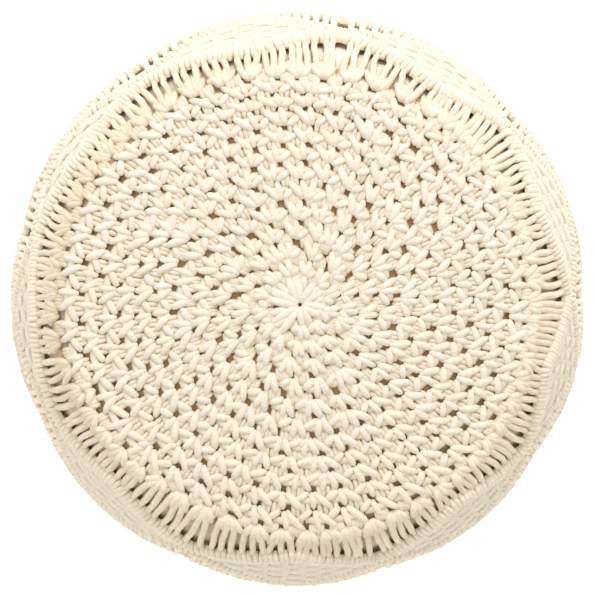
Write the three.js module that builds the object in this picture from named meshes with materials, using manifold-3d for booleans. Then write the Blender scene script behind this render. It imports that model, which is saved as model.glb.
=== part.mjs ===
// Macrame pouf: a round filled cushion inside a cotton cover. The cover has a top crocheted in
// rounds and a side of hanging cords, knotted into a net of diamonds that is wrapped round it.
// Millimetres, +Z up, origin in the middle of the base. Angles run clockwise seen from above,
// in degrees from +Y, and rows count the knotted levels of the net from its top edge down.
import * as THREE from 'three';
import { mergeVertices } from 'three/addons/utils/BufferGeometryUtils.js';
import Module from 'manifold-3d';

// Crocheted top
const POUF_HEIGHT = 300;
const TOP_CROWN = 12;
const TOP_RADIUS = 176;
const TOP_THICKNESS = 8;
const GROOVE_DEPTH = 3;
const STITCH_HOLE = 5.4;
const UNDERSIDE_RADII = [60, 120];

// Rounds of the crochet: where each one ends, and how many stitch holes it is cut with
const ROUNDS = [
  { radius: 16.8, holes: 0 },
  { radius: 31.5, holes: 9 },
  { radius: 47.3, holes: 0 },
  { radius: 61.1, holes: 14 },
  { radius: 74.6, holes: 0 },
  { radius: 86.4, holes: 16 },
  { radius: 98.5, holes: 0 },
  { radius: 112.0, holes: 19 },
  { radius: 125.1, holes: 0 },
  { radius: 139.0, holes: 21 },
  { radius: 152.2, holes: 0 },
  { radius: 166.1, holes: 20 },
  { radius: TOP_RADIUS, holes: 0 },
];

// Filled cushion: its surface under the rows of the net, from the shoulder to the drawn-in foot
const CUSHION_SIDE = [
  { row: -1, radius: 170.5, height: 280.2 },
  { row: 0, radius: 182.5, height: 275.5 },
  { row: 1, radius: 197.5, height: 247 },
  { row: 2, radius: 213, height: 200 },
  { row: 3, radius: 216.2, height: 142 },
  { row: 4, radius: 207, height: 82 },
  { row: 5, radius: 187, height: 33 },
  { row: 6, radius: 162, height: 9.6 },
];
const FOOT_RADIUS = 144;
const FOOT_STEP_RADIUS = 150;
const FIT = 0.5;

// Net: nine uneven repeats, each with a peak and a valley where two ridges of hitches cross, and
// the row that the first ridge rises to in the valley
const REPEATS = [
  { peak: 9, valley: 33, rise: 0.18 },
  { peak: 49, valley: 69, rise: 0.18 },
  { peak: 89, valley: 104.5, rise: 0.18 },
  { peak: 123, valley: 142, rise: 0.14 },
  { peak: 163, valley: 181, rise: 0.1 },
  { peak: 204, valley: 226, rise: 0.32 },
  { peak: 245, valley: 267, rise: 0.8 },
  { peak: 284, valley: 305, rise: 0.62 },
  { peak: 325, valley: 349, rise: 0.26 },
];
const NET_ROWS = 4;
const GAP_RIDGES = [1, 3];
const NET_INNER = 0.9;
const CORDS_PER_SIDE = 4;

// Ridges of hitches and the knotted lozenges between them, as heights off the cushion
const RIDGE_HALF = 4.8;
const RIDGE_HEIGHT = 9;
const RIDGE_WAIST = 7.8;
const FIELD_EDGE = 4.8;
const FIELD_SWELL = 1.6;
const KNOT_RELIEF = 1.6;

// Hanging cords and the gaps between them
const CORD_HEIGHT = 5.4;
const CORD_BOW = 1.4;
const BUNDLE_GROOVE = 4.6;
const CORD_WIDTH = 8.5;
const GAP_MARGIN = 1;
const GAP_TOP = 2.5;
const GAP_LEAST = 0.03;
const GAP_SHORTEST = 3.4;
const GAP_DEPTH = 50;

// Mounting ring at the crochet's edge and rim under the pouf, as radius and height
const MOUNTING_RING = [[176.6, 280.4], [176.6, 287], [183, 288]];
const HEM_ROW = 5.3;
const RIM = [[164, 0], [149, 0], [151.2, 8.8], [162.6, 9]];

const AROUND = 36;
const degrees = Math.PI / 180;
const wasm = await Module();
wasm.setup();

function cloth(color, roughness) {
  return new THREE.MeshStandardMaterial({ color, roughness, metalness: 0 });
}

function toSolid(geometry) {
  geometry.deleteAttribute('normal');
  geometry.deleteAttribute('uv');
  const merged = mergeVertices(geometry, 1e-4);
  const corners = merged.index.array;
  const kept = [];
  for (let i = 0; i < corners.length; i += 3) {
    const [a, b, c] = [corners[i], corners[i + 1], corners[i + 2]];
    if (a !== b && b !== c && c !== a) {
      kept.push(a, b, c);
    }
  }
  const vertProperties = new Float32Array(merged.attributes.position.array);
  const triVerts = new Uint32Array(kept);
  return new wasm.Manifold(new wasm.Mesh({ numProp: 3, vertProperties, triVerts }));
}

function toMesh(name, solid, material) {
  const { vertProperties, triVerts } = solid.getMesh();
  const geometry = new THREE.BufferGeometry();
  geometry.setAttribute('position', new THREE.BufferAttribute(vertProperties, 3));
  geometry.setIndex(new THREE.BufferAttribute(triVerts, 1));
  geometry.computeVertexNormals();
  const mesh = new THREE.Mesh(geometry, material);
  mesh.name = name;
  return mesh;
}

function turned(profile) {
  const outline = profile.map(([radius, height]) => new THREE.Vector2(radius, height));
  return new THREE.LatheGeometry(outline, AROUND).rotateX(Math.PI / 2);
}

// Height of the crowned top at a distance from its middle
function crown(radius) {
  return POUF_HEIGHT - TOP_CROWN * (radius / TOP_RADIUS) ** 2;
}

const sideCurve = new THREE.SplineCurve(
  CUSHION_SIDE.map(({ radius, height }) => new THREE.Vector2(radius, height)),
);

// Point of the side at a row, standing off the cushion's surface by a height, as radius and height
function sideSection(row, standoff) {
  const along = (row - CUSHION_SIDE[0].row) / (CUSHION_SIDE.length - 1);
  const surface = sideCurve.getPoint(along);
  const down = sideCurve.getTangent(along);
  return [surface.x - down.y * standoff, surface.y + down.x * standoff];
}

// Share of a row that a length down the side takes up there
function rowsDown(length, row) {
  const above = new THREE.Vector2(...sideSection(row - 0.5, 0));
  return length / above.distanceTo(new THREE.Vector2(...sideSection(row + 0.5, 0)));
}

// Crossings of the net in turn: even ones are peaks, odd ones valleys, going round and round
const crossings = REPEATS.flatMap(({ peak, valley }) => [peak, valley]);

function crossingAngle(place) {
  const lower = Math.floor(place);
  const at = (index) => {
    const turns = Math.floor(index / crossings.length);
    return crossings[index - turns * crossings.length] + 360 * turns;
  };
  return at(lower) + (at(lower + 1) - at(lower)) * (place - lower);
}

// Share of the way from a peak (0) to the valleys beside it (1)
function valleyShare(place) {
  return Math.abs(place - 2 * Math.round(place / 2));
}

// Row of the middle of a ridge. Odd ridges rise from their peaks to the valleys, even ones fall
function ridgeRow(number, place) {
  const share = valleyShare(place);
  if (number % 2 === 0) {
    return number - 1 + share;
  }
  const { rise } = REPEATS[Math.floor(place / 2) % REPEATS.length];
  return number - share * (number === 1 ? 1 - rise : 1);
}

// Rows of the three lines along one zigzag of the net, and how far they stand off the cushion
function zigzag(number, line) {
  const place = line / CORDS_PER_SIDE;
  const share = valleyShare(place);
  const down = number % 2 === 0;
  const middle = ridgeRow(number, place);
  const crest = line % 2 ? RIDGE_WAIST : RIDGE_HEIGHT;
  const edge = (side, crossing) => (share === crossing
    ? { row: middle, standoff: crest }
    : { row: middle + side * rowsDown(RIDGE_HALF, middle), standoff: FIELD_EDGE });
  return [
    edge(-1, down ? 0 : 1),
    { row: middle, standoff: crest },
    edge(1, down ? 1 : 0),
  ];
}

// Rows across a knotted lozenge, swollen towards its middle, where every other point is a knot
function knottedRows(number, line) {
  const place = line / CORDS_PER_SIDE;
  const reach = valleyShare(place);
  const ends = [ridgeRow(number, place), ridgeRow(number + 1, place)];
  return [-0.5, 0, 0.5].map((step) => {
    const swell = FIELD_SWELL * reach * (1 - Math.abs(step));
    const relief = (line + 2 * step) % 2 ? 0 : KNOT_RELIEF;
    const standoff = reach ? FIELD_EDGE + swell + relief : RIDGE_HEIGHT;
    return { row: THREE.MathUtils.lerp(...ends, (1 + step) / 2), standoff };
  });
}

// Section of the net along one of its upright lines, down its outside and up its inside
function netSection(line) {
  const share = valleyShare(line / CORDS_PER_SIDE);
  const points = [...MOUNTING_RING];
  const add = ({ row, standoff }) => points.push(sideSection(row, standoff));
  for (let number = 1; number <= NET_ROWS; number += 1) {
    zigzag(number, line).forEach(add);
    if (number === NET_ROWS) {
      const bundle = line % 2 ? BUNDLE_GROOVE : CORD_HEIGHT;
      add({ row: (number - 1 + share + HEM_ROW) / 2, standoff: bundle });
      add({ row: HEM_ROW, standoff: bundle });
    } else if (number % 2) {
      knottedRows(number, line).forEach(add);
    } else {
      add({ row: number, standoff: share === 1 ? RIDGE_HEIGHT : CORD_HEIGHT + CORD_BOW });
    }
  }
  points.push(...RIM);
  for (let row = Math.floor(HEM_ROW); row >= 0; row -= 1) {
    add({ row, standoff: NET_INNER });
  }
  return [...points, points[0]];
}

// Rows where the gap above an odd ridge starts and ends at a place: under the ridge above it, or
// under the mounting ring
function gapRows(number, place) {
  const rim = RIDGE_HALF + GAP_MARGIN;
  const under = number === 1 ? 0 : ridgeRow(number - 1, place);
  const over = ridgeRow(number, place);
  const start = under + rowsDown(number === 1 ? GAP_TOP : rim, under);
  return [start, over - rowsDown(rim, over)];
}

// Gap between two hanging cords, from one line of the net to the next
function cordGap(line, number) {
  const cutter = new THREE.BoxGeometry(1, 1, 1);
  const points = cutter.attributes.position;
  const ends = [line, line + 1].map((at) => crossingAngle(at / CORDS_PER_SIDE));
  const radius = sideSection(number - 1, 0)[0];
  const inset = CORD_WIDTH / 2 / radius / degrees / (ends[1] - ends[0]);
  for (let i = 0; i < points.count; i += 1) {
    const across = THREE.MathUtils.lerp(inset, 1 - inset, points.getX(i) + 0.5);
    const angle = THREE.MathUtils.lerp(ends[0], ends[1], across);
    const [start, end] = gapRows(number, (line + across) / CORDS_PER_SIDE);
    const row = THREE.MathUtils.lerp(start, Math.max(end, start + GAP_LEAST), points.getY(i) + 0.5);
    const [r, z] = sideSection(row, points.getZ(i) * GAP_DEPTH);
    const turn = angle * degrees;
    points.setXYZ(i, r * Math.sin(turn), r * Math.cos(turn), z);
  }
  return toSolid(cutter);
}

function macrameSide() {
  const lines = crossings.length * CORDS_PER_SIDE;
  const sections = Array.from({ length: lines }, (_, line) => netSection(line));
  const outline = sections[0].map(() => new THREE.Vector2(1, 0));
  const net = new THREE.LatheGeometry(outline, lines);
  sections.concat([sections[0]]).forEach((section, line) => {
    const turn = crossingAngle(line / CORDS_PER_SIDE) * degrees;
    section.forEach(([r, z], index) => {
      const at = line * outline.length + index;
      net.attributes.position.setXYZ(at, r * Math.sin(turn), r * Math.cos(turn), z);
    });
  });
  let solid = toSolid(net);
  for (let line = 0; line < lines; line += 1) {
    for (const number of GAP_RIDGES) {
      const [start, end] = gapRows(number, (line + 0.5) / CORDS_PER_SIDE);
      if (end - start > rowsDown(GAP_SHORTEST, start)) {
        solid = solid.subtract(cordGap(line, number));
      }
    }
  }
  return toMesh('macrame_side', solid, cloth('#f1e4cd', 0.95));
}

function crochetTop() {
  const underside = [0, ...UNDERSIDE_RADII, TOP_RADIUS].map(
    (radius) => [radius, crown(radius) - TOP_THICKNESS],
  );
  const ribs = [];
  ROUNDS.forEach(({ radius }, index) => {
    const start = index ? ROUNDS[index - 1].radius : 0;
    ribs.push([(start + radius) / 2, crown((start + radius) / 2)]);
    ribs.push([radius, crown(radius) - GROOVE_DEPTH]);
  });
  const middle = [[0, crown(0) - GROOVE_DEPTH]];
  let solid = toSolid(turned([...underside, ...ribs.reverse(), ...middle]));
  for (const { radius, holes } of ROUNDS) {
    for (let i = 0; i < holes; i += 1) {
      const turn = (i + 0.5) / holes * 2 * Math.PI;
      const cutter = new THREE.CylinderGeometry(STITCH_HOLE, STITCH_HOLE, 4 * TOP_THICKNESS, 3);
      cutter.rotateX(Math.PI / 2).translate(0, radius, crown(radius)).rotateZ(-turn);
      solid = solid.subtract(toSolid(cutter));
    }
  }
  return toMesh('crochet_top', solid, cloth('#f3e8d4', 0.95));
}

function innerCushion() {
  const foot = [[0, 0], [FOOT_RADIUS, 0], [FOOT_STEP_RADIUS, CUSHION_SIDE.at(-1).height]];
  const side = CUSHION_SIDE.map(({ radius, height }) => [radius, height]).reverse();
  const top = [...UNDERSIDE_RADII].reverse().concat(0).map(
    (radius) => [radius, crown(radius) - TOP_THICKNESS - FIT],
  );
  return toMesh('inner_cushion', toSolid(turned([...foot, ...side, ...top])), cloth('#f7f4ee', 0.9));
}

export default new THREE.Group().add(crochetTop(), innerCushion(), macrameSide());
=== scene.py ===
import math
import random
import bpy
import numpy as np
from mathutils import Matrix, Vector


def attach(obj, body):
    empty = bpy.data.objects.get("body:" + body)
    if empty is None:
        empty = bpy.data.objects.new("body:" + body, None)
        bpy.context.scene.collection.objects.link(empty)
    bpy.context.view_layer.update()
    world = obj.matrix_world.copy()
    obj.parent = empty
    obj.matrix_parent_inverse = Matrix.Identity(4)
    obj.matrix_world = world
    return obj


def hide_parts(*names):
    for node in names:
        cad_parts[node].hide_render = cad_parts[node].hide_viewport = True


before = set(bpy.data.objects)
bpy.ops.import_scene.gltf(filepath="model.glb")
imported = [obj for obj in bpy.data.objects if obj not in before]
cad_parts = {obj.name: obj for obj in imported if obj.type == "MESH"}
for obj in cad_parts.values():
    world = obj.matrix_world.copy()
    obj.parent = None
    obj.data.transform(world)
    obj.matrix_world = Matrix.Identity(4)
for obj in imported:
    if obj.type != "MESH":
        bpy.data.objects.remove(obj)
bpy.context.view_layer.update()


# Filled cushion. A round casing of plain off-white cotton, sewn from a top, a base and a side, and
# stuffed until it is firm. It shows between the cords of the side, and the pouf stands on its foot.
MM = 0.001

# Radius and height of the cushion's side, row by row of the net from its upper edge to the floor
CUSHION_SIDE = [
    (170.5, 280.2),
    (182.5, 275.5),
    (197.5, 247),
    (213, 200),
    (216.2, 142),
    (207, 82),
    (187, 33),
    (162, 9.6),
]
TOP_HEIGHT = 300
TOP_RADIUS = 176
TOP_CROWN = 12
TOP_THICKNESS = 8
FOOT_RADIUS = 144
FOOT_STEP_RADIUS = 150
FOOT_STEP_HEIGHT = 7.5
SIDE_FOOT_HEIGHT = 9.5

# How far inside its full size the casing is cut before it is stuffed, the remesh size it is stuffed at,
# and how far the stuffing may move it
CASING_SLACK = 1.0
CASING_VOXEL = 6
CASING_SWELL = 0.9
THREAD_PITCH = 1.4
random.seed(7)


def colour(code):
    """Linear colour of an sRGB hex value."""
    parts = [int(code[i:i + 2], 16) / 255 for i in (1, 3, 5)]
    return [p / 12.92 if p <= 0.04045 else ((p + 0.055) / 1.055) ** 2.4 for p in parts] + [1]


def put(tree, kind, inputs=None, **settings):
    """Adds a shader node, sets it, and gives its inputs values or links."""
    node = tree.nodes.new("ShaderNode" + kind)
    for name, value in settings.items():
        setattr(node, name, value)
    for name, value in (inputs or {}).items():
        if isinstance(value, bpy.types.NodeSocket):
            tree.links.new(value, node.inputs[name])
        else:
            node.inputs[name].default_value = value
    return node


def new_finish(name):
    """A material with its node tree emptied, and its tree."""
    finish = bpy.data.materials.new(name)
    finish.use_nodes = True
    finish.node_tree.nodes.clear()
    return finish, finish.node_tree


def crown(radius):
    """Height of the crowned top at a distance from its middle."""
    return TOP_HEIGHT - TOP_CROWN * (radius / TOP_RADIUS) ** 2


def side_section(row, standoff=0.0):
    """Radius and height at a row of the net, standing off the cushion by a height."""
    place = min(max(row + 1, 0), len(CUSHION_SIDE) - 1)
    index = min(int(place), len(CUSHION_SIDE) - 2)
    part = place - index
    ends = [CUSHION_SIDE[min(max(index + k, 0), len(CUSHION_SIDE) - 1)] for k in (-1, 0, 1, 2)]
    point = []
    slope = []
    for before, start, end, after in zip(*ends):
        leave = (end - before) / 2
        reach = (after - start) / 2
        cubic = 2 * start - 2 * end + leave + reach
        square = -3 * start + 3 * end - 2 * leave - reach
        point.append(((cubic * part + square) * part + leave) * part + start)
        slope.append((3 * cubic * part + 2 * square) * part + leave)
    length = math.hypot(*slope)
    return point[0] - slope[1] / length * standoff, point[1] + slope[0] / length * standoff


def pick(piece):
    """Makes a piece the only selected object."""
    bpy.ops.object.select_all(action="DESELECT")
    piece.select_set(True)
    bpy.context.view_layer.objects.active = piece


def turned(name, profile, around):
    """A closed round body, drawn out ring by ring from a circle. The profile runs up its outside."""
    bpy.ops.object.select_all(action="DESELECT")
    radius, height = profile[0]
    bpy.ops.mesh.primitive_circle_add(
        vertices=around, radius=radius * MM, fill_type="TRIFAN", location=(0, 0, 0)
    )
    piece = bpy.context.object
    piece.name = name
    bpy.ops.object.mode_set(mode="EDIT")
    bpy.ops.transform.translate(value=(0, 0, height * MM))
    for next_radius, next_height in profile[1:]:
        bpy.ops.mesh.extrude_region_move(
            TRANSFORM_OT_translate={"value": (0, 0, (next_height - height) * MM)}
        )
        share = next_radius / radius
        bpy.ops.transform.resize(value=(share, share, 1), center_override=(0, 0, 0))
        radius, height = next_radius, next_height
    bpy.ops.mesh.select_all(action="SELECT")
    bpy.ops.mesh.normals_make_consistent(inside=False)
    bpy.ops.object.mode_set(mode="OBJECT")
    return piece


def points_of(piece):
    """The corners of a piece's mesh as an array."""
    corners = np.empty(len(piece.data.vertices) * 3)
    piece.data.vertices.foreach_get("co", corners)
    return corners.reshape(-1, 3)


def stuff(piece, voxel, swell):
    """Blows a padded piece up as its filling does, moving no point further than the swell."""
    piece.data.remesh_voxel_size = voxel * MM
    pick(piece)
    bpy.ops.object.voxel_remesh()
    flat = points_of(piece)
    cloth = piece.modifiers.new("filling", "CLOTH")
    cloth.settings.use_pressure = True
    cloth.settings.uniform_pressure_force = 4
    cloth.settings.effector_weights.gravity = 0
    scene = bpy.context.scene
    for step in range(1, 21):
        scene.frame_set(step)
    graph = bpy.context.evaluated_depsgraph_get()
    full = points_of(piece.evaluated_get(graph))
    piece.modifiers.remove(cloth)
    scene.frame_set(1)
    move = full - flat
    length = np.linalg.norm(move, axis=1, keepdims=True)
    move *= np.minimum(1, swell * MM / np.maximum(length, 1e-9))
    shaped = flat + move
    shaped[:, 2] = np.maximum(shaped[:, 2], 0)
    piece.data.vertices.foreach_set("co", shaped.ravel())
    piece.data.update()


slack = CASING_SLACK
side_rows = [side_section(step / 3 - 1, -slack) for step in range(21, -1, -1)]
cushion = turned(
    "filled_cushion",
    [(40, 0.2), (FOOT_RADIUS - 6, 0.2), (FOOT_STEP_RADIUS, FOOT_STEP_HEIGHT)]
    + [(radius, max(height, SIDE_FOOT_HEIGHT)) for radius, height in side_rows]
    + [(radius, crown(radius) - TOP_THICKNESS - slack) for radius in (150, 120, 90, 60, 25)],
    96,
)
stuff(cushion, CASING_VOXEL, CASING_SWELL)
smoother = cushion.modifiers.new("casing", "SUBSURF")
smoother.levels = 1
smoother.render_levels = 1
pick(cushion)
bpy.ops.object.modifier_apply(modifier="casing")
bpy.ops.object.shade_smooth()

# Plain woven cotton: off-white and matte, with a fine even weave. The real threads are about 0.5 mm
# apart, and are drawn at THREAD_PITCH so that the weave shows at all.
casing_cotton, tree = new_finish("plain_woven_cotton")
place = put(tree, "TexCoord")
threads = []
for direction in ("X", "Y", "Z"):
    wave = put(
        tree,
        "TexWave",
        {"Vector": place.outputs["Object"], "Scale": 0.314 / (THREAD_PITCH * MM), "Distortion": 0.6},
        bands_direction=direction,
    )
    threads.append(wave.outputs["Fac"])
crossed = put(tree, "Math", {0: threads[0], 1: threads[1]}, operation="ADD")
weave = put(tree, "Math", {0: crossed.outputs[0], 1: threads[2]}, operation="ADD")
raised = put(
    tree, "Bump", {"Height": weave.outputs[0], "Strength": 0.35, "Distance": 0.25 * MM}
)
uneven = put(tree, "TexNoise", {"Vector": place.outputs["Object"], "Scale": 40, "Detail": 4})
shade = put(tree, "ValToRGB", {"Fac": uneven.outputs["Fac"]})
shade.color_ramp.elements[0].color = colour("#fbefd9")
shade.color_ramp.elements[1].color = colour("#fff8e9")
cotton = put(
    tree,
    "BsdfPrincipled",
    {
        "Base Color": shade.outputs["Color"],
        "Normal": raised.outputs["Normal"],
        "Roughness": 0.92,
        "Specular IOR Level": 0.2,
        "Sheen Weight": 0.15,
    },
)
put(tree, "OutputMaterial", {"Surface": cotton.outputs["BSDF"]})
cushion.data.materials.append(casing_cotton)
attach(cushion, "root")
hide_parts("inner_cushion")


# Crocheted top. Thick soft cotton yarn, worked from the middle outwards in one long spiral. Each
# stitch shows two legs and a third loop, with thin strands of the round behind it. Under them the
# back loops are drawn as a thin closed ground, coloured with painted shade so that the holes
# between the stitches look dark.
GROUND_DEPTH = 6.2
GROUND_THICKNESS = 1.6
YARN_RADIUS = 3.05
JITTER = 0.045

# Turns of the spiral, from the middle, and how far out each one has come
FIRST_TURN = 0.5
LAST_TURN = 11.32
SPIRAL = [
    (FIRST_TURN, 14.5), (0.75, 17), (1, 19.9), (1.5, 26), (2, 33), (2.5, 38.6), (3, 47), (3.5, 53.5),
    (4, 61.8), (5, 76.5), (6, 91), (7, 105), (8, 118.4), (9, 130.5), (9.28, 135), (10.28, 149.3),
    (10.5, 151.5), (10.75, 153.5), (11, 154.6), (11.08, 157), (11.17, 161), (11.28, 163),
    (LAST_TURN, 165),
]

# Clock angles round the crochet's edge, and how far out its last round ends there
EDGE = [
    (0, 166.5), (60, 167.5), (100, 168.5), (180, 168), (200, 164.5), (218, 163.5), (228, 168),
    (245, 170.5), (254, 174), (261, 178.5), (290, 177.5), (302, 177.5), (312, 175), (325, 172),
    (340, 170.5), (360, 166.5),
]
SHOULDER_RADIUS = 168
SHOULDER_BEND = 0.03
RADIAN = 57.3

# Distances from the middle, and how wide a stitch is there
WIDTHS = [(18, 9.6), (47, 13.2), (75, 15.6), (99, 17.6), (126, 19.2), (153, 21.4)]

# Where a stitch is worked into the one below: how nearly it stands over it, and its foot follows it
SETTLE = 0.5
FOLLOW = 0.7
PETALS = 12
PETAL_LENGTH = 18


def along_table(table, value):
    """Value of the second column of a table where the first has a value."""
    return float(np.interp(value, [row[0] for row in table], [row[1] for row in table]))


def edge_radius(angle):
    """How far out the crochet's edge is at a clock angle."""
    return along_table(EDGE, angle % 360)


def top_point(angle, radius, depth):
    """Point of the top at a clock angle in degrees, below its surface, which bends at the shoulder."""
    turn = math.radians(angle)
    bend = SHOULDER_BEND * max(radius - SHOULDER_RADIUS, 0) ** 2
    return Vector((
        radius * math.sin(turn) * MM,
        radius * math.cos(turn) * MM,
        (crown(radius) - bend - depth) * MM,
    ))


def leaf(start, end, depths, radius, tapers=(0.75, 0.5), bow=0.0, steps=7):
    """A strand that shows between two holes: thin where it dives, plump where it arches over.

    Start and end are clock angle and radius. Depths are those of its start, crest and end, and
    tapers the shares of its thickness at start and end."""
    strand = []
    for step in range(steps + 1):
        part = step / steps
        arch = math.sin(math.pi * part)
        angle = start[0] + (end[0] - start[0]) * part
        out = start[1] + (end[1] - start[1]) * part
        angle += bow * arch / max(out, 5) * RADIAN
        foot = depths[0] + (depths[2] - depths[0]) * part
        depth = foot + (depths[1] - foot) * arch ** 0.55
        taper = tapers[0] + (tapers[1] - tapers[0]) * part
        plump = taper + (1 - taper) * arch ** 0.55
        strand.append((top_point(angle, out, depth), radius * plump * MM))
    return strand


def cords(name, strands, bevel=2, cyclic=False):
    """Makes strands, each a list of points and thicknesses, into round cords in one mesh."""
    curve = bpy.data.curves.new(name, "CURVE")
    curve.dimensions = "3D"
    curve.bevel_depth = 1
    curve.bevel_resolution = bevel
    curve.use_fill_caps = True
    for strand in strands:
        spline = curve.splines.new("POLY")
        spline.points.add(len(strand) - 1)
        spline.use_cyclic_u = cyclic
        for point, (place, radius) in zip(spline.points, strand):
            point.co = (*place, 1)
            point.radius = radius
    piece = bpy.data.objects.new(name, curve)
    bpy.context.scene.collection.objects.link(piece)
    pick(piece)
    bpy.ops.object.convert(target="MESH")
    piece = bpy.context.object
    bpy.ops.object.shade_smooth()
    return piece


# The cushion's section in fine steps. Points lower than FOOT_HEIGHT are stored as standing FOOT_STANDOFF
# off it, so that the painted shade stays light by the floor.
SECTION = np.array([side_section(step / 12 - 1) for step in range(85)])
FOOT_HEIGHT = 12
FOOT_STANDOFF = 5


def note_standoff(piece):
    """Stores how far each point of a piece stands off the cushion, in millimetres, for the painted shade
    of the cotton finishes.
    """
    corners = points_of(piece) / MM
    radius = np.hypot(corners[:, 0], corners[:, 1])
    above = corners[:, 2] - crown(radius) + TOP_THICKNESS
    height = np.where(radius < TOP_RADIUS - 2, above, 1e3)
    for start in range(0, len(corners), 20000):
        part = slice(start, start + 20000)
        apart = np.hypot(
            radius[part, None] - SECTION[None, :, 0], corners[part, 2, None] - SECTION[None, :, 1]
        )
        height[part] = np.minimum(height[part], apart.min(axis=1))
    height[corners[:, 2] < FOOT_HEIGHT] = FOOT_STANDOFF
    store = piece.data.attributes.new("standoff", "FLOAT", "POINT")
    store.data.foreach_set("value", height.astype(np.float32))


# A thin sheet under the stitches, which the painted shade colours brown so that the holes between them
# look dark.
crochet_ground_painted_shade = turned(
    "crochet_ground_painted_shade",
    [(radius, crown(radius) - GROUND_DEPTH - GROUND_THICKNESS) for radius in (30, 70, 120, 175)]
    + [(radius, crown(radius) - GROUND_DEPTH) for radius in (175.5, 120, 70, 30)],
    96,
)
pick(crochet_ground_painted_shade)
bpy.ops.object.shade_smooth()


def wander(size):
    """A small uneven amount, as hand work has."""
    return random.uniform(-size, size)


def stitch(angle, base_angle, inner, outer, width):
    """The strands of one stitch: two legs, a plump third loop and two thin strands behind it."""
    pitch = outer - inner
    turn = width / inner * RADIAN

    def spot(across, out, from_base=0.0):
        centre = angle + (base_angle - angle) * from_base
        share = across + wander(JITTER)
        spot_angle = centre + share * turn * inner / (inner + out * pitch)
        return spot_angle, inner + (out + wander(JITTER)) * pitch

    swell = 1 + wander(0.08)
    crest = 2.9 + wander(0.4)
    front = [
        leaf(spot(0.0, 0.13, 1), spot(-0.03, 1.03), (4.6, crest, 5), 2.85 * swell, bow=wander(0.6)),
        leaf(
            spot(-0.14, 0.13, 1), spot(-0.65, 1.0), (4.6, crest - 0.1, 5), YARN_RADIUS * swell,
            bow=wander(0.9),
        ),
        leaf(spot(0.12, 0.12, 1), spot(0.62, 0.5), (4.6, 3.3, 5.2), 3.1 * swell),
    ]
    behind = [
        leaf(spot(across, -0.34), spot(across + 0.03, 0.44), (5.6, 4.1, 5.6), 2.25, steps=4)
        for across in (0.29, 0.47, 0.65, 0.81)
    ]
    behind.append(
        leaf(spot(-0.6, 0.55), spot(0.45, 0.55), (6.2, 4.9, 6.2), 3.7, tapers=(0.8, 0.8), steps=4)
    )
    return front, behind


stitches = []
back_strands = []
turn_now = FIRST_TURN
turns = []
while turn_now < LAST_TURN:
    turns.append(turn_now)
    radius = along_table(SPIRAL, turn_now)
    turn_now += along_table(WIDTHS, radius) / (2 * math.pi * radius)
for at in turns:
    inner = along_table(SPIRAL, at)
    angle = -360 * at
    outer = along_table(SPIRAL, at + 1) if at + 1 < LAST_TURN else edge_radius(angle)
    width = along_table(WIDTHS, inner)
    turn_width = width / inner * RADIAN
    below = [-360 * (t + 1) + 0.2 * turn_width for t in turns if abs(t + 1 - at) < 0.2]
    base_angle = angle
    if below:
        own = min(below, key=lambda spot: abs(spot - angle))
        if abs(own - angle) < 0.6 * turn_width:
            angle += (own - angle) * SETTLE + wander(0.06) * turn_width
            base_angle = angle + (own - angle) * FOLLOW
    front, behind = stitch(angle, base_angle, inner, outer, width)
    stitches.extend(front)
    back_strands.extend(behind)
raised_count = len(stitches)
for petal in range(PETALS):
    angle = (petal + wander(0.15)) * 360 / PETALS
    reach = along_table(SPIRAL, FIRST_TURN + (180 - angle) % 360 / 360) + 0.8 + wander(1)
    lean = 6 if petal % 2 else -4
    crest = 2.9 + wander(0.5)
    stitches.append(
        leaf((angle, 1.6), (angle + lean, reach), (3.6, crest, 4.8), 3.3, tapers=(0.45, 0.75))
    )
    if reach > PETAL_LENGTH:
        angle += 180 / PETALS
        stitches.append(leaf((angle, 10), (angle + lean, reach), (5.0, crest + 0.6, 5.2), 3.0))
rosette = stitches[raised_count:]
half = raised_count // 2
inner_rounds = cords("crochet_inner_rounds", stitches[:half] + rosette)
outer_rounds = cords("crochet_outer_rounds", stitches[half:raised_count])
back_loops = cords("crochet_back_strands", back_strands, bevel=1)

# Soft undyed cotton yarn: cream, matte and a little fluffy, with fine fibres that run along each
# strand. Its colour is painted darker and browner deep between the strands, close to the cushion,
# as painted shade.


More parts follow.
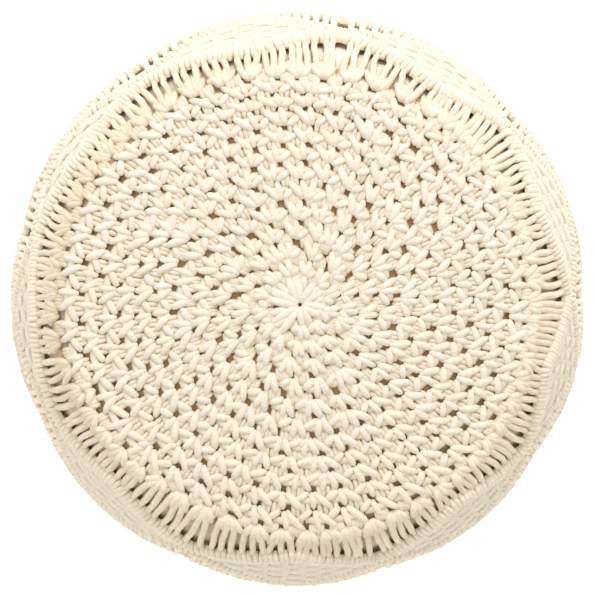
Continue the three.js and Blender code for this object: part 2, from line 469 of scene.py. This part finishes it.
def spun_cotton(name, light, middle, painted_shade_colour, depths):
    """Undyed cotton with lengthwise fibres, and painted shade that browns it close to the cushion. Depths
    are the standoffs below which it takes the painted shade colour and above which it keeps its light
    colour.
    """
    finish, tree = new_finish(name)
    uv = put(tree, "UVMap", uv_map="UVMap")
    split = put(tree, "SeparateXYZ", {0: uv.outputs["UV"]})
    island = put(tree, "NewGeometry")
    around = put(tree, "Math", {0: split.outputs["X"], 1: 14.0}, operation="MULTIPLY")
    down = put(tree, "Math", {0: split.outputs["Y"], 1: 1.6}, operation="MULTIPLY")
    strand = put(
        tree, "Math", {0: island.outputs["Random Per Island"], 1: 91.0}, operation="MULTIPLY"
    )
    lengthwise = put(
        tree, "CombineXYZ", {"X": around.outputs[0], "Y": down.outputs[0], "Z": strand.outputs[0]}
    )
    fibres = put(
        tree, "TexNoise", {"Vector": lengthwise.outputs[0], "Scale": 1.0, "Detail": 3, "Roughness": 0.6}
    )
    place = put(tree, "TexCoord")
    fluff = put(
        tree,
        "TexNoise",
        {"Vector": place.outputs["Object"], "Scale": 700, "Detail": 2, "Roughness": 0.7},
    )
    surface = put(tree, "Math", {0: fibres.outputs["Fac"], 1: fluff.outputs["Fac"]}, operation="ADD")
    raised = put(
        tree, "Bump", {"Height": surface.outputs[0], "Strength": 0.7, "Distance": 0.45 * MM}
    )
    height = put(tree, "Attribute", attribute_name="standoff")
    depth = put(
        tree,
        "MapRange",
        {"Value": height.outputs["Fac"], "From Min": depths[0], "From Max": depths[1]},
    )
    # Painted shade: the ramp runs from the painted shade colour close to the cushion, through a middle
    # tone, to the cotton's own light colour.
    painted_shade_ramp = put(tree, "ValToRGB", {"Fac": depth.outputs["Result"]})
    painted_shade_ramp.color_ramp.elements[0].color = colour(painted_shade_colour)
    painted_shade_ramp.color_ramp.elements[1].color = colour(light)
    between = painted_shade_ramp.color_ramp.elements.new(0.5)
    between.color = colour(middle)
    streak = put(
        tree,
        "MapRange",
        {"Value": fibres.outputs["Fac"], "From Min": 0.3, "From Max": 0.7, "To Min": 0.85, "To Max": 1.0},
    )
    own = put(
        tree,
        "MapRange",
        {"Value": island.outputs["Random Per Island"], "To Min": 0.955, "To Max": 1.0},
    )
    both = put(
        tree, "Math", {0: streak.outputs["Result"], 1: own.outputs["Result"]}, operation="MULTIPLY"
    )
    toned = put(
        tree, "VectorMath", {0: painted_shade_ramp.outputs["Color"], "Scale": both.outputs[0]}, operation="SCALE"
    )
    cotton = put(
        tree,
        "BsdfPrincipled",
        {
            "Base Color": toned.outputs[0],
            "Normal": raised.outputs["Normal"],
            "Roughness": 0.95,
            "Specular IOR Level": 0.15,
            "Sheen Weight": 0.2,
        },
    )
    put(tree, "OutputMaterial", {"Surface": cotton.outputs["BSDF"]})
    return finish


# Painted shade of the yarn: brown where it lies within 1.8 mm of the cushion's top, its own cream from
# 6.8 mm up.
crochet_yarn = spun_cotton("spun_cotton_yarn", "#fbf0e0", "#e8d9be", "#bb9b74", (1.8, 6.8))
for piece in (crochet_ground_painted_shade, inner_rounds, outer_rounds, back_loops):
    note_standoff(piece)
    piece.data.materials.append(crochet_yarn)
    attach(piece, "root")
    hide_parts("crochet_top")


# Hanging cords. Soft cotton cord of about 4 mm, looped on the crochet's edge three by three. Each
# three rise out of one stitch of its last round, cross the shoulder and run down to the first ridge.

# Clock angles of the nine places where the first ridge is furthest down, called peaks here, each with
# the valley that follows it, where the ridge is nearest the crochet
REPEATS = [
    (9, 33), (49, 69), (89, 104.5), (123, 142), (163, 181), (204, 226), (245, 267), (284, 305),
    (325, 349),
]
CROSSINGS = [angle for repeat in REPEATS for angle in repeat]
CORDS_PER_CROSSING = 10
CORDS_PER_STITCH = 3
CORD_RADIUS = 2.1
EDGE_CORD_RADIUS = 2.45
CORD_LIE = 2.7
CORD_BOW = 1.6
FREE_RADIUS = 2.6
EDGE_DEPTH = 4.2
PEAK_PARTING = 0.035

# A cord's root: how far beyond the edge, share of the way to its own angle, depth and thickness
ROOT_LENGTH = 8.6
CORD_ROOT = [
    (0.4, 0.28, 5.8, 1.9), (2.0, 0.42, 4.6, 2.6), (5.4, 0.68, EDGE_DEPTH, 2.9),
    (ROOT_LENGTH, 0.86, EDGE_DEPTH, 2.8),
]

# Strands of a stitch at the edge: start and end in half widths, length and thickness
EDGE_STITCH_WIDTH = 15
EDGE_FAN = [
    (-0.2, -1.0, 10.5, 2.8), (0.2, 0.95, 11, 2.8), (-0.1, -0.4, 13, 2.6), (0.1, 0.36, 13.5, 2.6),
]

# Rows that the first ridge rises to between its peaks, lower where the crochet reaches further out
VALLEY_ROWS = (0.18, 0.18, 0.18, 0.14, 0.1, 0.32, 0.8, 0.62, 0.26)


def crossing_angle(place):
    """Clock angle of a place along the net, where whole numbers are its crossings in turn."""
    lower = math.floor(place)
    ends = [CROSSINGS[k % len(CROSSINGS)] + 360 * (k // len(CROSSINGS)) for k in (lower, lower + 1)]
    return ends[0] + (ends[1] - ends[0]) * (place - lower)


def valley_share(place):
    """Share of the way from a peak (0) to the valleys beside it (1)."""
    return abs(place - 2 * round(place / 2))


def ridge_row(number, place):
    """Row of the middle of a ridge. Ridges that meet lie one above the other there."""
    share = valley_share(place)
    if number == 1:
        return 1 - (1 - VALLEY_ROWS[int(place // 2) % len(VALLEY_ROWS)]) * share
    part = (0.18 if number == 2 else 0.09) * (1 - share) + 0.91 * share
    return number - part if number % 2 else number - 1 + part


def side_point(place, row, standoff):
    """Point of the side at a place along the net and a row down it."""
    radius, height = side_section(row, standoff)
    turn = math.radians(crossing_angle(place))
    return Vector((radius * math.sin(turn), radius * math.cos(turn), height)) * MM


def parted(place):
    """Where a cord meets a ridge: the cords stand a little apart on both sides of a peak."""
    offset = place - 2 * round(place / 2)
    return place + math.copysign(PEAK_PARTING * (1 - abs(offset)), offset)


def cord_place(cord):
    """Place along the net of a cord, counted from a peak."""
    return (cord + 0.5) / CORDS_PER_CROSSING


def row_reaching(radius):
    """Row where a cord that lies on the side has come out to a radius."""
    rows = [step / 20 - 1 for step in range(61)]
    return float(np.interp(radius, [side_section(row, CORD_LIE)[0] for row in rows], rows))


mounted = []
edge_loops = []
cord_count = CORDS_PER_CROSSING * len(CROSSINGS)
for cord in range(cord_count):
    place = cord_place(cord)
    order = cord % CORDS_PER_STITCH - 1
    stitch_angle = crossing_angle(cord_place(cord - order))
    edge = edge_radius(stitch_angle)
    sideways = RADIAN / edge
    lean = wander(0.9)
    own_angle = crossing_angle(place)
    swell = 1 + wander(0.07)
    strand = []
    for out, spread, depth, radius in CORD_ROOT:
        angle = stitch_angle + (own_angle - stitch_angle) * spread + lean * sideways * out / ROOT_LENGTH
        strand.append((top_point(angle, edge + out, depth + wander(0.3)), radius * swell * MM))
    drift = wander(0.03)
    last_row = ridge_row(1, parted(place))
    top_row = row_reaching(edge + 15)
    for step in range(1, 7):
        part = step / 6
        row = top_row + (max(last_row, top_row) - top_row) * part
        along = place + (parted(place) - place) * part + drift * math.sin(math.pi * part)
        sag = 1 + wander(0.1)
        lie = CORD_LIE * sag + 0.4 * (1 - part)
        radius = EDGE_CORD_RADIUS * swell * (1 + 0.1 * (1 - part))
        strand.append((side_point(along, row, lie), radius * MM))
    mounted.append(strand)
    if order == 0:
        half_width = 360 / cord_count * CORDS_PER_STITCH / 2
        last_round = stitch(
            stitch_angle, stitch_angle, edge - 0.8, edge + 10.8, EDGE_STITCH_WIDTH
        )
        edge_loops.extend(last_round[1])
        turn_by = wander(0.3)
        for start, end, reach, radius in EDGE_FAN:
            edge_loops.append(leaf(
                (stitch_angle + half_width * start, edge + 0.2 + wander(0.6)),
                (stitch_angle + half_width * (end + turn_by + wander(0.16)), edge + reach + wander(2)),
                (5.8, 3.0 + wander(0.5), 6.0), radius, tapers=(0.45, 0.55), bow=wander(0.8),
            ))
mounting_round = cords(
    "mounting_round",
    [[(top_point(angle, edge_radius(angle) + 4, 7.4), 2.2 * MM) for angle in range(0, 360, 5)]],
    cyclic=True,
)
mounted_cords = cords("mounted_cords", mounted + edge_loops)


# Ridges. Each cord is tied in turn over a leading cord with two hitches, so that the ridge is a row
# of short fat loops side by side, with the leader hidden inside. Ridges zigzag round the pouf.
HITCHES_PER_CORD = 2
LEADER_STEP = 0.125
RIDGE_COUNT = 4
HITCH_REACH = 4.9
HITCH_CREST = 7.4
HITCH_FOOT = 2.0
HITCH_RADIUS = 2.05
LEADER_RADIUS = 3.7
LEADER_STANDOFF = 3.8

# One hitch: steps across the ridge, and how high and how thick it is there
HITCH_ARCH = [
    (-1, 0, 0.95), (-0.8, 0.62, 1), (-0.3, 0.97, 1), (0.3, 0.97, 1), (0.8, 0.62, 1), (1, 0, 0.95),
]


def rows_down(length, row):
    """Share of a row that a length down the side takes up there."""
    upper = side_section(max(row - 0.5, -1))
    lower = side_section(row + 0.5)
    return length / math.dist(upper, lower)


def across_ridge(number, place, length):
    """Steps in place and row that cross a ridge squarely by a length."""
    row = ridge_row(number, place)
    a_row = 1 / rows_down(1, row)
    apart = crossing_angle(place + 0.5) - crossing_angle(place - 0.5)
    a_crossing = math.radians(apart) * side_section(row)[0]
    down = (ridge_row(number, place + 0.06) - ridge_row(number, place - 0.06)) * a_row
    along = 0.12 * a_crossing
    reach = length / math.hypot(down, along)
    return -down * reach / a_crossing, along * reach / a_row


hitches = []
leaders = []
for number in range(1, RIDGE_COUNT + 1):
    per_crossing = CORDS_PER_CROSSING * HITCHES_PER_CORD
    leaders.append([
        (side_point(place, ridge_row(number, place), LEADER_STANDOFF), LEADER_RADIUS * MM)
        for place in np.arange(0, len(CROSSINGS), LEADER_STEP)
    ])
    for loop in range(per_crossing * len(CROSSINGS)):
        place = (loop + 0.5 + wander(0.08)) / per_crossing
        row = ridge_row(number, place)
        over, reach = across_ridge(number, place, HITCH_REACH)
        crest = HITCH_CREST + wander(0.35)
        over += wander(0.012)
        swell = 1 + wander(0.06)
        hitch = []
        for step, rise, thick in HITCH_ARCH:
            standoff = HITCH_FOOT + (crest - HITCH_FOOT) * rise
            spot = side_point(place + over * step, row + reach * step, standoff)
            hitch.append((spot, HITCH_RADIUS * thick * swell * MM))
        hitches.append(hitch)
half = len(hitches) // 2
upper_ridges = cords("upper_ridges", hitches[:half])
lower_ridges = cords("lower_ridges", hitches[half:])
ridge_leaders = cords("ridge_leaders", leaders, cyclic=True)


# Knotted lozenges. Between two ridges the cords are tied four by four in square knots, set out like
# bricks: one knot at the top, one more in each row down to five, and back to one. Where the ridges
# run close together only the middle rows fit in.
KNOT_ROWS = (1, 2, 3, 4, 5, 4, 3, 2, 1)
SHORT_KNOT_ROWS = (3, 4, 5, 4, 3)
SHORT_HEIGHT = 1.4
KNOT_CORDS = 4
KNOT_WIDTH = 15.5
KNOT_HEIGHT = 9.4
KNOT_CLOSENESS = 0.93
KNOT_STANDOFF = 4.8
KNOT_CORD_LIE = 3.2
KNOT_CORD_GATHER = 3.6
WORKING_RADIUS = 2.25
knots = []
links = []


def places_across(length, row):
    """Share of a crossing that a length round the side takes up at a row, on average."""
    return length / (2 * math.pi * side_section(row)[0]) * len(CROSSINGS)


def square_knot(place, row):
    """Two bars that cross the filler cords in front, and a loop round them at each side."""
    half_width = places_across(KNOT_WIDTH / 2, row)
    tall = rows_down(KNOT_HEIGHT / 2, row)
    tilt = wander(0.2)
    row += wander(0.12) * tall
    place += wander(0.1) * half_width

    def at(across, down, standoff):
        return side_point(place + across * half_width, row + (down + across * tilt) * tall, standoff)

    parts = []
    for side, middle in ((1, -0.48), (-1, 0.48)):
        parts.append([
            (at(-side * 1.0, middle - 0.5, 3.6), WORKING_RADIUS * 0.75 * MM),
            (at(-side * 0.72, middle - 0.34, KNOT_STANDOFF + 0.6), WORKING_RADIUS * MM),
            (at(-side * 0.2, middle - 0.1, KNOT_STANDOFF + 0.9), WORKING_RADIUS * 1.08 * MM),
            (at(side * 0.45, middle + 0.2, KNOT_STANDOFF + 0.6), WORKING_RADIUS * 1.05 * MM),
            (at(side * 0.95, middle + 0.42, 4.4), WORKING_RADIUS * 0.8 * MM),
        ])
        parts.append([
            (at(side * 0.7, middle - 0.75, 3.8), WORKING_RADIUS * 0.8 * MM),
            (at(side * 0.98, middle - 0.4, KNOT_STANDOFF + 0.2), WORKING_RADIUS * MM),
            (at(side * 1.02, middle + 0.2, KNOT_STANDOFF + 0.2), WORKING_RADIUS * MM),
            (at(side * 0.7, middle + 0.62, 3.8), WORKING_RADIUS * 0.8 * MM),
        ])
    return parts


for number in (1, 3):
    for valley in range(1, len(CROSSINGS), 2):
        upper = ridge_row(number, valley)
        lower = ridge_row(number + 1, valley)
        counts = KNOT_ROWS if lower - upper > SHORT_HEIGHT else SHORT_KNOT_ROWS
        rows = [upper + (lower - upper) * (index + 1) / (len(counts) + 1) for index in range(len(counts))]
        for row, count in zip(rows, counts):
            for slot in range(count):
                spot = (slot - (count - 1) / 2) * KNOT_CORDS / CORDS_PER_CROSSING
                place = valley + spot * KNOT_CLOSENESS
                knots.extend(square_knot(place, row))
        for cord in range(2 * CORDS_PER_CROSSING):
            own = valley - 1 + (cord + 0.5) / CORDS_PER_CROSSING
            strand = []
            top = ridge_row(number, own)
            bottom = ridge_row(number + 1, own)
            strand.append((side_point(own, top, KNOT_CORD_LIE), CORD_RADIUS * MM))
            for row, count in zip(rows, counts):
                if not top < row < bottom:
                    continue
                first = CORDS_PER_CROSSING - KNOT_CORDS * count // 2
                shift = (cord - first) // KNOT_CORDS
                if 0 <= shift < count:
                    spot = (shift - (count - 1) / 2) * KNOT_CORDS / CORDS_PER_CROSSING
                    order = (cord - first) % KNOT_CORDS - (KNOT_CORDS - 1) / 2
                    gather = places_across(order * KNOT_CORD_GATHER, row)
                    step = rows_down(KNOT_HEIGHT / 2, row)
                    filler = valley + spot * KNOT_CLOSENESS + gather
                    for end_row in (row - step, row + step):
                        spot_there = side_point(filler, end_row, KNOT_CORD_LIE + 0.2)
                        strand.append((spot_there, CORD_RADIUS * MM))
            strand.append((side_point(own, bottom, KNOT_CORD_LIE), CORD_RADIUS * MM))
            links.append(strand)
knotted_fields = cords("knotted_lozenges", knots, bevel=1)
knot_cords = cords("lozenge_cords", links, bevel=1)


# Open diamonds and skirt. Between the lozenges the cords hang free from ridge to ridge, and below
# the last ridge all of them are drawn in under the pouf and end in a flat rim round its foot.
FOOT_ROW = 5.7
FOOT_RIM = [(166, 5.2), (158, 3.0), (152.5, 3.6)]
free = []
skirt = []
for cord in range(cord_count):
    place = cord_place(cord)
    start = ridge_row(2, place)
    end = ridge_row(3, place)
    lean = wander(0.012)
    free.append([
        (
            side_point(
                parted(place) + lean * math.sin(math.pi * step / 6), start + (end - start) * step / 6,
                CORD_LIE + CORD_BOW * math.sin(math.pi * step / 6),
            ),
            FREE_RADIUS * MM,
        )
        for step in range(7)
    ])
    start = ridge_row(4, place)
    strand = [
        (side_point(place, start + (FOOT_ROW - start) * step / 6, CORD_LIE), CORD_RADIUS * MM)
        for step in range(7)
    ]
    turn = math.radians(crossing_angle(place))
    for radius, height in FOOT_RIM:
        spot = Vector((radius * math.sin(turn), radius * math.cos(turn), height)) * MM
        strand.append((spot, CORD_RADIUS * MM))
    skirt.append(strand)
free_cords = cords("open_diamond_cords", free)
skirt_cords = cords("gathered_skirt_cords", skirt)

# Soft undyed cotton cord: cream like the yarn but a little warmer and denser, with the same fine
# lengthwise fibres, and the same painted shade, browner where the cord lies close to the casing.
macrame_cord = spun_cotton("spun_cotton_cord", "#f9eedc", "#ecdcc1", "#cdb28c", (0.0, 6.5))
for piece in (
    mounting_round, mounted_cords, upper_ridges, lower_ridges, ridge_leaders, knotted_fields,
    knot_cords, free_cords, skirt_cords,
):
    note_standoff(piece)
    piece.data.materials.append(macrame_cord)
    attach(piece, "root")
    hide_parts("macrame_side")


# Floor, light and camera. The pouf stands on a plain white floor under a large soft light from the
# top of the picture and a weaker one from the left, and is seen from straight above.
bpy.ops.object.select_all(action="DESELECT")
bpy.ops.mesh.primitive_plane_add(size=8, location=(0, 0, 0))
floor = bpy.context.object
floor.name = "floor"
floor_paint, tree = new_finish("matt_white_paint")
paint = put(
    tree,
    "BsdfPrincipled",
    {
        "Base Color": colour("#fbfbfa"),
        "Roughness": 0.9,
        "Specular IOR Level": 0.1,
        "Emission Color": colour("#ffffff"),
        "Emission Strength": 0.4,
    },
)
put(tree, "OutputMaterial", {"Surface": paint.outputs["BSDF"]})
floor.data.materials.append(floor_paint)

sky = bpy.data.worlds.new("soft_room")
sky.use_nodes = True
sky.node_tree.nodes["Background"].inputs["Color"].default_value = colour("#fffdf8")
sky.node_tree.nodes["Background"].inputs["Strength"].default_value = 0.83
bpy.context.scene.world = sky


def softbox(name, place, size, power):
    """A square lamp that points at the pouf."""
    light = bpy.data.lights.new(name, "AREA")
    light.shape = "SQUARE"
    light.size = size
    light.energy = power
    lamp = bpy.data.objects.new(name, light)
    lamp.location = place
    lamp.rotation_euler = (Vector((0, 0, 0.15)) - Vector(place)).to_track_quat("-Z", "Y").to_euler()
    bpy.context.scene.collection.objects.link(lamp)


softbox("window_light", (0.3, 2.1, 1.7), 1.2, 35)
softbox("fill_light", (-1.6, 0.4, 2.8), 2.0, 8)

lens = bpy.data.cameras.new("camera")
lens.sensor_width = 36
lens.lens = 148.8
camera = bpy.data.objects.new("camera", lens)
camera.location = (-0.018, 0.067, 2.1)
aim = Vector((-0.001, 0.002, 0.2))
back = (camera.location - aim).normalized()
right = Vector((0, 1, 0)).cross(back).normalized()
camera.rotation_euler = Matrix((right, back.cross(right), back)).transposed().to_euler()
bpy.context.scene.collection.objects.link(camera)
bpy.context.scene.camera = camera
bpy.context.scene.view_settings.view_transform = "Standard"
